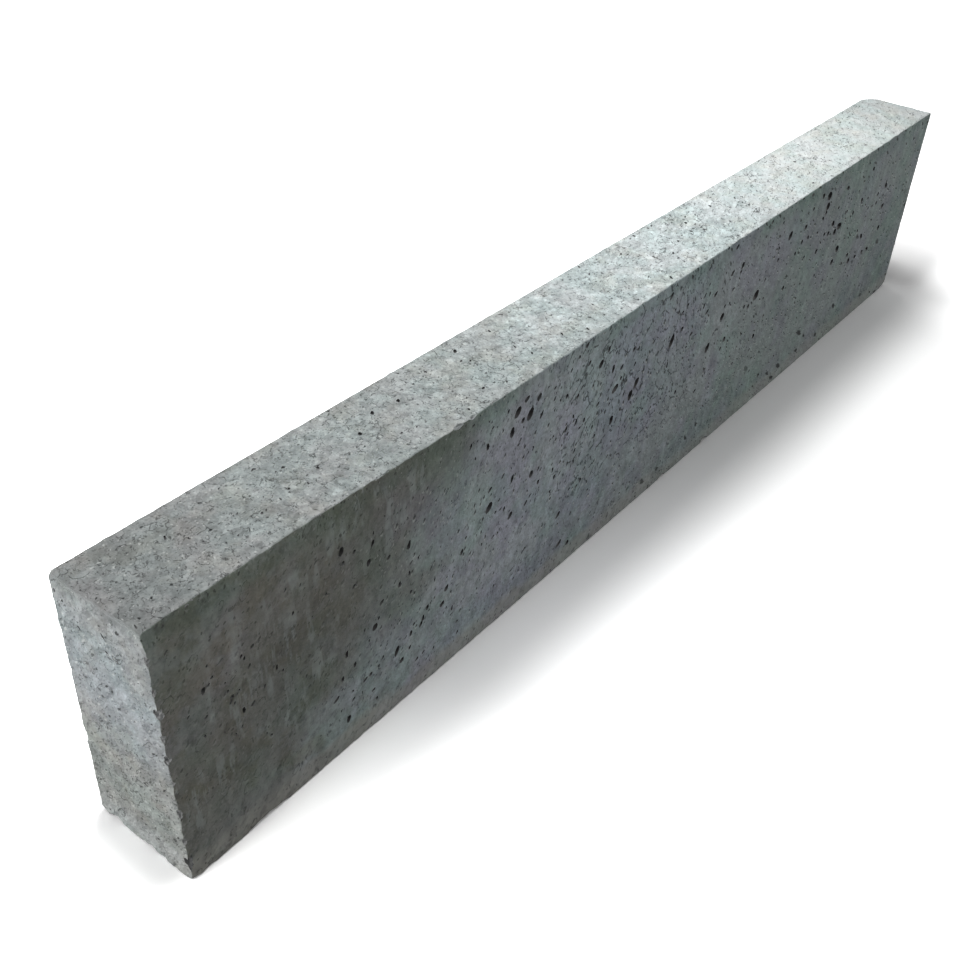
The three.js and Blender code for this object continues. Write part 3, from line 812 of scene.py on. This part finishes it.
def make_floor():
    """White to the camera, a little over white away from the stone, with painted light and shade
    that shape the stone's shadow, and grey to light.
    """
    bpy.ops.mesh.primitive_plane_add(size=FLOOR_SIZE, location=(0, 0, 0))
    floor = bpy.context.object
    floor.name = "floor"
    material, tree = new_material("floor_paper")
    nodes = Nodes(tree)
    place = nodes.add("ShaderNodeTexCoord").outputs["Object"]
    x, y = nodes.split(place)[:2]
    past = nodes.vector("SUBTRACT", nodes.vector("ABSOLUTE", place), (LENGTH / 2, BED_WIDTH / 2, 0))
    beside = nodes.vector("LENGTH", nodes.vector("MAXIMUM", past, (0, 0, 0)), output=1)
    # The white of the floor, painted lighter and darker by place, with painted shadows multiplied
    # in.
    white_and_painted_shade = nodes.times(nodes.math("ADD", *[nodes.ramp(x, *step) for step in FLOOR_NEARER]),
                        nodes.ramp(beside, *FLOOR_OUTER),
                        *[nodes.ramp(x, *step) for step in FLOOR_FARTHER])
    for kept, by_x, by_y, by_gap in FLOOR_SHADES:
        shade = nodes.times(nodes.ramp(x, *by_x), nodes.ramp(y, *by_y))
        if by_gap:
            shade = nodes.times(shade, nodes.ramp(beside, *by_gap))
        white_and_painted_shade = nodes.times(white_and_painted_shade, nodes.between(shade, 1.0, kept))
    white_and_painted_shade = nodes.add("ShaderNodeCombineColor", {0: white_and_painted_shade, 1: white_and_painted_shade, 2: white_and_painted_shade}).outputs[0]
    white = nodes.add("ShaderNodeBsdfDiffuse", {"Color": white_and_painted_shade}).outputs[0]
    glow = nodes.math("ADD", *[nodes.ramp(beside, *step) for step in FLOOR_GLOW])
    glow = nodes.add("ShaderNodeEmission", {"Color": grey(1.0), "Strength": glow}).outputs[0]
    seen = nodes.add("ShaderNodeAddShader", {0: white, 1: glow}).outputs[0]
    unseen = nodes.add("ShaderNodeBsdfDiffuse", {"Color": grey(FLOOR_BOUNCE)}).outputs[0]
    mixed = white_to_camera(nodes, seen, unseen)
    nodes.add("ShaderNodeOutputMaterial", {"Surface": mixed})
    floor.data.materials.append(material)


def area_light(name, place, target, size, power):
    data = bpy.data.lights.new(name, "AREA")
    data.shape = "SQUARE"
    data.size = size
    data.energy = power
    lamp = linked(name, data)
    lamp.location = place
    lamp.rotation_euler = (Vector(target) - Vector(place)).to_track_quat("-Z", "Y").to_euler()


def make_camera():
    data = bpy.data.cameras.new("camera")
    data.sensor_width = SENSOR
    data.lens = LENS
    data.clip_start, data.clip_end = CLIP
    camera = linked("camera", data)
    camera.location = CAMERA_PLACE
    camera.rotation_euler = CAMERA_TURN
    bpy.context.scene.camera = camera


# ---------------------------------------------------------------- finishes

def srgb(red, green, blue):
    """A colour written as 0 to 255 on a screen, as the linear colour of a shader."""
    def linear(value):
        value /= 255
        return value / 12.92 if value <= 0.04045 else ((value + 0.055) / 1.055) ** 2.4
    return (linear(red), linear(green), linear(blue), 1)


def grey(value):
    return (value, value, value, 1)


GROUPS = {}
SOFT_EDGE = 0.5         # where a dot is full, as a share of its radius
LINE_CORE = 0.3         # where a line is full, as a share of its width
OPENING = 0.05          # of the noise, over which a line opens
PEBBLE_LEAST, PEBBLE_MOST = 0.18, 0.5     # the radius of an arc, in cells
SHEEN = 0.3             # of the specular reflection


def shader_group(name, sizes, output="Mask"):
    """A new shader node group: its node helper, its inputs and the socket it puts out."""
    tree = bpy.data.node_groups.new(name, "ShaderNodeTree")
    inputs = [("Vector", "Vector", None)]
    inputs += [(label, "Float", value) for label, value in sizes.items()]
    source, sink = sockets(tree, inputs, [(output, "Float")])
    GROUPS[name] = tree
    return Nodes(tree), source.outputs, sink.inputs[0]


def scale_of(nodes, inputs, size):
    """The scale of a texture whose pattern has the group's size."""
    return nodes.math("DIVIDE", 1.0, inputs[size])


def cell_draw(nodes, inputs, size):
    """How far a place is from its cell's middle, and three numbers drawn for that cell."""
    cell = nodes.add("ShaderNodeTexVoronoi", {"Vector": inputs["Vector"],
                                              "Scale": scale_of(nodes, inputs, size)})
    draws = nodes.add("ShaderNodeSeparateColor", {0: cell.outputs["Color"]}).outputs
    return cell.outputs["Distance"], draws


def broken_up(nodes, inputs, size, waves, detail, rough):
    """Where a line is shown: in the parts that noise, of so many waves a cell, leaves open."""
    scale = nodes.times(scale_of(nodes, inputs, size), waves)
    patchy = nodes.noise(inputs["Vector"], scale, detail, rough)
    return nodes.ramp(patchy, inputs["Shown"], nodes.math("ADD", inputs["Shown"], OPENING))


def line_at(nodes, inputs, off):
    """A line where off is 0, as wide as the group's width."""
    return nodes.ramp(off, inputs["Width"], nodes.times(inputs["Width"], LINE_CORE))


def either_way(nodes, inputs, value):
    """A tone round 1, from a value round a half, with the group's contrast."""
    swing = nodes.times(nodes.math("SUBTRACT", value, 0.5), inputs["Contrast"])
    return nodes.math("ADD", 1.0, nodes.times(swing, 2.0))


def speckle_group():
    """Dots scattered one to a cell: Share of the cells have one, and no two are alike."""
    nodes, inputs, sink = shader_group(
        "speckle", {"Cell": 3 * MM, "Share": 0.3, "Least": 0.1, "Most": 0.35})
    off, draws = cell_draw(nodes, inputs, "Cell")
    radius = nodes.add("ShaderNodeMapRange", {0: draws[1], 3: inputs["Least"],
                                              4: inputs["Most"]}).outputs[0]
    dot = nodes.ramp(off, radius, nodes.times(radius, SOFT_EDGE))
    nodes.feed(sink, nodes.times(dot, nodes.math("LESS_THAN", draws[0], inputs["Share"])))


def arc_group():
    """Broken arcs: the rims of pebbles that show through a thin skin of cement."""
    nodes, inputs, sink = shader_group(
        "pebble_arcs", {"Pebble": 9 * MM, "Share": 0.5, "Width": 0.05, "Shown": 0.5})
    off, draws = cell_draw(nodes, inputs, "Pebble")
    radius = nodes.add("ShaderNodeMapRange", {0: draws[1], 3: PEBBLE_LEAST,
                                              4: PEBBLE_MOST}).outputs[0]
    off = nodes.math("ABSOLUTE", nodes.math("SUBTRACT", off, radius))
    nodes.feed(sink, nodes.times(line_at(nodes, inputs, off),
                                 nodes.math("LESS_THAN", draws[0], inputs["Share"]),
                                 broken_up(nodes, inputs, "Pebble", 2.2, 2, 0.6)))


def crazing_group():
    """Broken lines along the borders between pebbles."""
    nodes, inputs, sink = shader_group(
        "crazing", {"Cell": 8 * MM, "Width": 0.05, "Shown": 0.5})
    border = nodes.cells(inputs["Vector"], scale_of(nodes, inputs, "Cell"), "DISTANCE_TO_EDGE")
    nodes.feed(sink, nodes.times(line_at(nodes, inputs, border),
                                 broken_up(nodes, inputs, "Cell", 1.7, 3, 0.65)))


def blotch_group():
    """Soft blotches of one size, from 0 to 1, with a soft border."""
    nodes, inputs, sink = shader_group(
        "blotches", {"Size": 30 * MM, "Centre": 0.5, "Border": 0.1, "Detail": 4.0})
    noise = nodes.noise(inputs["Vector"], scale_of(nodes, inputs, "Size"), inputs["Detail"], 0.6)
    nodes.feed(sink, nodes.ramp(noise, nodes.math("SUBTRACT", inputs["Centre"], inputs["Border"]),
                                nodes.math("ADD", inputs["Centre"], inputs["Border"])))


def flake_group():
    """Flat patches, each a little lighter or darker than the next, round 1."""
    nodes, inputs, sink = shader_group("flakes", {"Size": 6 * MM, "Contrast": 0.1}, "Tone")
    _, draws = cell_draw(nodes, inputs, "Size")
    nodes.feed(sink, either_way(nodes, inputs, draws[2]))


def grain_group():
    """Cement and sand grain: an even spread of light and dark round 1."""
    nodes, inputs, sink = shader_group("grain", {"Size": 2 * MM, "Contrast": 0.3}, "Tone")
    noise = nodes.noise(inputs["Vector"], scale_of(nodes, inputs, "Size"), 3, 0.7)
    nodes.feed(sink, either_way(nodes, inputs, noise))


def make_groups():
    for make in (speckle_group, arc_group, crazing_group, blotch_group, flake_group, grain_group):
        make()


class Skin(Nodes):
    """One finish: a base colour that each layer changes in turn, and a height for its bump."""

    def __init__(self, name):
        self.material, tree = new_material(name)
        super().__init__(tree)
        self.place = self.add("ShaderNodeTexCoord").outputs["Object"]
        self.still = self.place
        self.at = self.split(self.place)
        self.colour = None
        self.height = None

    def group(self, name, **values):
        node = self.add("ShaderNodeGroup", node_tree=GROUPS[name])
        self.feed(node.inputs["Vector"], self.place)
        for key, value in values.items():
            self.feed(node.inputs[key.capitalize()], value)
        return node.outputs[0]

    def lifted(self, height, name, **values):
        """A group's mask as it would be with its pattern this much lower."""
        at_rest = self.place
        self.place = self.vector("ADD", at_rest, (0.0, 0.0, height))
        mask = self.group(name, **values)
        self.place = at_rest
        return mask

    def bend(self, size, reach):
        """Makes what is painted from here on uneven: its place wanders over that size."""
        self.place = self.vector("ADD", self.place, self.drift(self.place, 1 / size, reach))

    def draw_out(self, way, share):
        """Makes what is painted from here on longer that way: its place counts for less there."""
        far = self.vector("DOT_PRODUCT", self.place, way, output=1)
        self.place = self.vector("ADD", self.place, self.scaled(way, self.times(far, share, -1)))

    def mix(self, share, low, high, blend="MIX"):
        node = self.add("ShaderNodeMix", {0: share, 6: low, 7: high}, data_type="RGBA",
                        blend_type=blend)
        return node.outputs[2]

    def along(self, value, stops):
        """The colour at a value, from stops of (value, colour)."""
        first, last = stops[0][0], stops[-1][0]
        share = self.add("ShaderNodeMapRange", {0: value, 1: first, 2: last}).outputs[0]
        ramp = self.add("ShaderNodeValToRGB", {0: share})
        ramp.color_ramp.interpolation = "EASE"
        bands = ramp.color_ramp.elements
        while len(bands) < len(stops):
            bands.new(0.5)
        for band, (at, colour) in zip(bands, stops):
            band.position = (at - first) / (last - first)
            band.color = colour
        return ramp.outputs[0]

    def wandering(self, axis, reach, size):
        """A coordinate that wanders by that reach, so that no tone ends on a straight line."""
        drift = self.times(self.swing(self.place, 1 / size, 3, 0.55), 2 * reach)
        return self.math("ADD", self.at[axis], drift)

    def level(self):
        """How much the surface faces up: -1 to 1."""
        turned = self.add("ShaderNodeNewGeometry").outputs["Normal"]
        return self.split(turned)[2]

    def tint(self, mask, colour, strength=1.0):
        """Multiplies the colour where the mask is."""
        self.colour = self.mix(self.times(mask, strength), self.colour, colour, "MULTIPLY")

    def paint(self, mask, colour, strength=1.0):
        self.colour = self.mix(self.times(mask, strength), self.colour, colour)

    def tone(self, value):
        """Multiplies the colour by a plain number that varies round 1."""
        self.colour = self.scaled(self.colour, value)

    def vary(self, kind, size, contrast, share=1.0):
        """Tones the colour by grain or flakes of that size, and of a share of that contrast."""
        self.tone(self.group(kind, size=size, contrast=self.times(share, contrast)))

    def raise_by(self, mask, depth):
        """Adds to the height of the bump, in metres: a negative depth sinks it."""
        step = self.times(mask, depth)
        self.height = step if self.height is None else self.math("ADD", self.height, step)

    def finish(self, roughness):
        bump = self.add("ShaderNodeBump", {"Strength": 1.0, "Distance": 1.0,
                                           "Height": self.height})
        shader = self.add("ShaderNodeBsdfPrincipled", {
            "Base Color": self.colour, "Roughness": roughness, "Specular IOR Level": SHEEN,
            "Normal": bump.outputs[0]})
        self.add("ShaderNodeOutputMaterial", {"Surface": shader.outputs[0]})
        return self.material


# Tones along the stone, from the near end to the far one: place along X, colour.
CAST_TONES = (
    (-0.52, srgb(144, 144, 142)),
    (-0.46, srgb(130, 131, 124)),
    (-0.40, srgb(126, 128, 123)),
    (-0.35, srgb(137, 140, 137)),
    (-0.28, srgb(178, 186, 189)),
    (-0.16, srgb(180, 187, 193)),
    (-0.08, srgb(163, 172, 177)),
    (0.05, srgb(160, 168, 170)),
    (0.20, srgb(149, 159, 158)),
    (0.32, srgb(150, 160, 159)),
    (0.50, srgb(136, 146, 145)),
)
CAST_LEAN = 1.04        # the dark near part reaches further along the top of the face
STRUCK_TONES = (
    (-0.50, srgb(140, 141, 141)),
    (-0.44, srgb(149, 151, 151)),
    (-0.40, srgb(158, 161, 161)),
    (-0.30, srgb(161, 165, 165)),
    (-0.22, srgb(165, 171, 171)),
    (-0.10, srgb(181, 187, 188)),
    (0.10, srgb(184, 191, 192)),
    (0.30, srgb(199, 204, 204)),
    (0.40, srgb(198, 203, 202)),
    (0.50, srgb(181, 186, 186)),
)
# And up the ends: place along Z, colour.
END_TONES = (
    (0.000, srgb(174, 178, 177)),
    (0.016, srgb(170, 173, 172)),
    (0.026, srgb(158, 160, 157)),
    (0.075, srgb(155, 157, 155)),
    (0.110, srgb(159, 163, 166)),
    (0.145, srgb(167, 173, 177)),
    (0.175, srgb(163, 168, 170)),
    (0.200, srgb(149, 152, 152)),
)
# Pale sand, also used for the painted highlights below the pin holes.
PALE_SAND_AND_LIP_HIGHLIGHT = srgb(228, 232, 228)

# Where the finishes change along the stone: the X where the change starts and where it is full.
FACE_NEAR = -0.26, -0.42
FACE_FAR = -0.30, 0.10
TOP_NEAR = -0.20, -0.38
TOP_FAR = 0.0, 0.30
TOP_CALM = 0.26, 0.42


def cast_face_skin():
    """The long faces, smooth from the mould: stains, streaks, slits, pin holes with painted
    highlights below them, a pale foot.
    """
    skin = Skin("cast_face")
    x, _, z = skin.at
    near = skin.ramp(x, *FACE_NEAR)
    lean = skin.times(skin.math("SUBTRACT", z, HEIGHT / 2), CAST_LEAN)
    skin.colour = skin.along(skin.math("SUBTRACT", skin.wandering(0, 0.10, 0.07), lean), CAST_TONES)
    skin.tint(skin.group("blotches", size=0.055, centre=0.53, border=0.1), srgb(244, 255, 249))
    violet = skin.group("blotches", size=0.045, centre=0.52, border=0.08)
    skin.tint(violet, srgb(252, 246, 255), skin.between(near, 1.0, 0.3))
    olive = skin.group("blotches", size=0.026, centre=0.53, border=0.08)
    skin.tint(skin.times(olive, near), srgb(218, 213, 200), 0.75)
    skin.tint(skin.ramp(skin.wandering(2, 0.006, 0.03), 0.183, 0.193), srgb(214, 226, 218), 0.6)
    height = skin.wandering(2, 0.02, 0.05)
    middle = skin.times(skin.ramp(height, 0.03, 0.08), skin.ramp(height, 0.17, 0.12))
    skin.tint(skin.times(middle, near), grey(0.81))
    skin.tint(skin.times(skin.ramp(height, 0.03, 0.15), skin.ramp(x, 0.08, 0.22)), grey(0.88))

    upright = skin.vector("MULTIPLY", skin.place, (1.0, 1.0, 0.2))
    streak = skin.noise(upright, 150, 3, 0.6)
    skin.tone(skin.ramp(streak, 0.3, 0.7, 0.9, 1.1))
    busy = skin.times(skin.ramp(x, -0.42, -0.20, 0.75, 1.0), skin.ramp(x, -0.05, 0.20, 1.0, 0.78))
    skin.vary("grain", 9 * MM, 0.55, busy)
    skin.draw_out((0.83, 0.0, -0.56), skin.ramp(x, -0.35, 0.10, 0.2, 0.55))
    skin.vary("grain", 3 * MM, 0.42, busy)
    skin.vary("grain", 1.3 * MM, 0.42, busy)
    foot = skin.ramp(skin.wandering(2, 0.014, 0.04), 0.022, 0.010)
    skin.paint(foot, srgb(190, 189, 182), skin.ramp(x, -0.30, 0.15, 0.6, 0.32))
    wash = skin.group("blotches", size=0.06, centre=0.56, border=0.06)
    skin.paint(skin.times(skin.ramp(streak, 0.52, 0.62), wash), srgb(190, 200, 199), 0.30)

    dirty = skin.group("blotches", size=0.030, centre=0.48, border=0.08)
    crowded = skin.times(skin.ramp(x, -0.18, -0.13), skin.ramp(x, 0.07, 0.0),
                         skin.ramp(z, 0.04, 0.09))
    skin.draw_out((0.57, 0.0, 0.82), skin.ramp(x, -0.10, 0.15, 0.5, 0.0))
    skin.bend(1.4 * MM, 1.8 * MM)
    skin.vary("flakes", 6 * MM, 0.10)
    smudges = skin.group("blotches", size=6 * MM, centre=0.60, border=0.05)
    cracks = skin.times(skin.group("crazing", cell=7 * MM, width=0.075, shown=0.49),
                        skin.between(crowded, 0.25, 1.0))
    pin_holes = {"cell": 4.5 * MM, "share": 0.6, "least": 0.1, "most": 0.28}
    pins = skin.times(skin.group("speckle", **pin_holes), skin.between(near, 1.0, 0.45))
    # Painted highlights: pale marks just below the pin holes, on the lips that face up to the
    # light.
    lip_highlights = skin.lifted(0.9 * MM, "speckle", **pin_holes)
    fines = skin.times(skin.group("speckle", cell=2.2 * MM, share=0.42, least=0.16, most=0.42),
                       skin.between(dirty, 0.4, 1.0))
    sand = skin.group("speckle", cell=2.0 * MM, share=0.3, least=0.14, most=0.38)
    rims = skin.group("pebble_arcs", pebble=6 * MM, share=0.5, width=0.05, shown=0.48)
    skin.bend(4 * MM, 3.5 * MM)
    pits = skin.times(skin.group("speckle", cell=8 * MM, share=0.8, least=0.10, most=0.30),
                      skin.ramp(x, *FACE_FAR, 0.15, 1.0))
    hollows = skin.times(skin.group("speckle", cell=13 * MM, share=0.75, least=0.11, most=0.30),
                         skin.ramp(x, 0.05, 0.20))
    skin.tint(smudges, grey(0.62), skin.between(near, 0.25, 0.8))
    # Pale sand, and the painted highlights below the pin holes.
    for pale in (sand, lip_highlights):
        skin.paint(pale, PALE_SAND_AND_LIP_HIGHLIGHT, skin.between(near, 0.5, 0.12))
    # The pin holes, pits and hollows have no depth: their dark is dirt and painted shade in them.
    for dark, kept in ((fines, 0.34), (rims, 0.46), (cracks, 0.24), (pins, 0.10), (pits, 0.07),
                       (hollows, 0.08)):
        skin.tint(dark, grey(kept))

    skin.raise_by(skin.noise(skin.still, scale=380, detail=3, rough=0.6), 0.35 * MM)
    return skin.finish(roughness=0.86)


def struck_tones(skin):
    """The tone, which changes along the top and up the ends, and how level the face is."""
    top = skin.along(skin.wandering(0, 0.08, 0.05), STRUCK_TONES)
    ends = skin.along(skin.wandering(2, 0.015, 0.02), END_TONES)
    flat = skin.ramp(skin.math("ABSOLUTE", skin.level()), 0.35, 0.8)
    return skin.mix(flat, ends, top), flat


def struck_face_skin():
    """The top and the ends: pebbles and sand under a broken skin of cement, full of pores."""
    skin = Skin("struck_face")
    x, _, z = skin.at
    skin.colour, level = struck_tones(skin)
    upright = skin.math("SUBTRACT", 1.0, level)
    near = skin.ramp(x, *TOP_NEAR)
    far = skin.ramp(x, *TOP_FAR)
    calm = skin.ramp(x, *TOP_CALM)
    skin.tint(skin.group("blotches", size=0.030, centre=0.5, border=0.12), srgb(243, 250, 249))
    skin.tint(skin.group("blotches", size=0.021, centre=0.55, border=0.1), srgb(252, 249, 245))
    rubbed = skin.ramp(skin.math("ABSOLUTE", skin.wandering(1, 0.008, 0.02)), 0.022, 0.036)
    skin.paint(rubbed, srgb(176, 177, 174), 0.15)
    smooth = skin.group("blotches", size=0.014, centre=0.52, border=0.07)
    pitted = skin.group("blotches", size=0.024, centre=0.50, border=0.07)
    skin.draw_out((0.0, 0.6, -0.8), skin.times(upright, 0.5))
    skin.draw_out((0.91, 0.41, 0.0), skin.ramp(x, -0.30, 0.20, 0.0, 0.45))
    busy = skin.times(skin.ramp(x, -0.46, -0.41, 0.8, 1.0), skin.between(far, 1.0, 0.42),
                      skin.between(upright, 1.0, 1.45))
    broad = skin.times(busy, skin.between(upright, 1.0, 0.42))
    skin.vary("grain", 12 * MM, 0.24, broad)
    skin.vary("grain", 6 * MM, 0.30, broad)
    skin.vary("grain", 2.6 * MM, 0.32, busy)
    skin.vary("grain", 1.2 * MM, 0.34, busy)

    skin.bend(5 * MM, 4 * MM)
    cobbled = skin.place
    skin.vary("flakes", 7 * MM, 0.15, busy)
    skin.bend(1.6 * MM, 1.8 * MM)
    skin.vary("flakes", 3 * MM, 0.13, busy)
    rims = skin.group("pebble_arcs", pebble=12 * MM, share=0.6, width=0.03, shown=0.48)
    cracks = skin.times(skin.group("crazing", cell=8 * MM, width=0.045, shown=0.52),
                        skin.between(level, 0.5, 1.0))
    open_texture = skin.math("SUBTRACT", 1.0, skin.times(smooth, 0.7))
    open_texture = skin.times(open_texture, skin.between(pitted, 0.5, 1.2))
    pores = skin.group("speckle", cell=2.6 * MM, share=0.65, least=0.12, most=0.42)
    pores = skin.math("MULTIPLY", skin.times(pores, open_texture), skin.between(near, 1.0, 0.7),
                      clamp=True)
    fewer = skin.between(calm, 1.0, 0.6)
    pores = skin.times(pores, fewer)
    specks = skin.group("speckle", cell=1.5 * MM, share=0.4, least=0.2, most=0.5)
    wide = skin.group("speckle", cell=5.6 * MM, share=0.46, least=0.09, most=0.23)
    sand = skin.group("speckle", cell=2.4 * MM, share=0.5, least=0.14, most=0.42)
    gaps = skin.group("pebble_arcs", pebble=5 * MM, share=0.6, width=0.06, shown=0.47)
    gaps = skin.times(skin.math("MULTIPLY", gaps, open_texture, clamp=True), fewer)
    coarse = skin.group("speckle", cell=3.4 * MM, share=0.7, least=0.15, most=0.42)
    low_on_end = skin.times(upright, skin.ramp(z, 0.11, 0.07), skin.ramp(z, 0.010, 0.018))
    skin.paint(skin.times(sand, fewer), srgb(230, 233, 230), skin.between(upright, 0.36, 0.42))
    skin.tint(specks, grey(0.5), skin.between(calm, 1.0, 0.5))
    # The pores and wide pits have no depth: their dark is dirt and painted shade in them.
    for dark, kept in ((skin.times(coarse, low_on_end), 0.35), (pores, 0.26),
                       (skin.times(pores, far), 0.6), (rims, 0.38), (cracks, 0.38), (gaps, 0.42),
                       (wide, 0.14)):
        skin.tint(dark, grey(kept))

    skin.raise_by(skin.cells(cobbled, scale=140), -0.9 * MM)
    skin.raise_by(skin.noise(skin.still, scale=300, detail=3, rough=0.6), 0.5 * MM)
    return skin.finish(roughness=0.92)


def broken_face_skin():
    """Where a chip has come off: open grain, a little lighter than the skin, with painted shade on
    the chips low by the bed.
    """
    skin = Skin("broken_face")
    skin.colour = skin.along(skin.at[0], STRUCK_TONES)
    # Painted shade on the chips low by the bed.
    skin.tint(skin.ramp(skin.at[2], 0.04, 0.02), grey(0.42))
    skin.vary("grain", 1.5 * MM, 0.6)
    pores = skin.group("speckle", cell=2.2 * MM, share=0.4, least=0.12, most=0.3)
    skin.tint(pores, grey(0.45))
    skin.raise_by(skin.noise(skin.place, scale=450, detail=3, rough=0.7), 0.6 * MM)
    skin.raise_by(pores, -0.4 * MM)
    return skin.finish(roughness=0.95)


def air_hole_skin():
    """The inside of an air hole: dark with dirt and painted shade, and painted lighter on the lower
    lip, which faces up to the light.
    """
    skin = Skin("air_hole")
    # Painted light and shade by facing: darkest where the wall looks down, lightest on the lower
    # lip, which looks up.
    hole_shade_and_lit_lip = ((-0.2, grey(0.045)), (0.3, grey(0.065)), (0.85, grey(0.22)))
    skin.colour = skin.along(skin.level(), hole_shade_and_lit_lip)
    skin.vary("grain", 1.5 * MM, 0.5)
    skin.raise_by(skin.noise(skin.place, scale=500, detail=2, rough=0.6), 0.2 * MM)
    return skin.finish(roughness=0.95)


# ---------------------------------------------------------------- put together

bpy.context.scene.view_settings.view_transform = "Standard"
make_camera()
make_world()
make_floor()
for name, settings in SOFTBOXES.items():
    area_light(name, *settings)

make_groups()
kerb = cast_kerb({"cast_face": cast_face_skin(), "struck_face": struck_face_skin(),
                  "broken_face": broken_face_skin(), "air_hole": air_hole_skin()})
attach(kerb, "root")
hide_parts("kerb_stone")
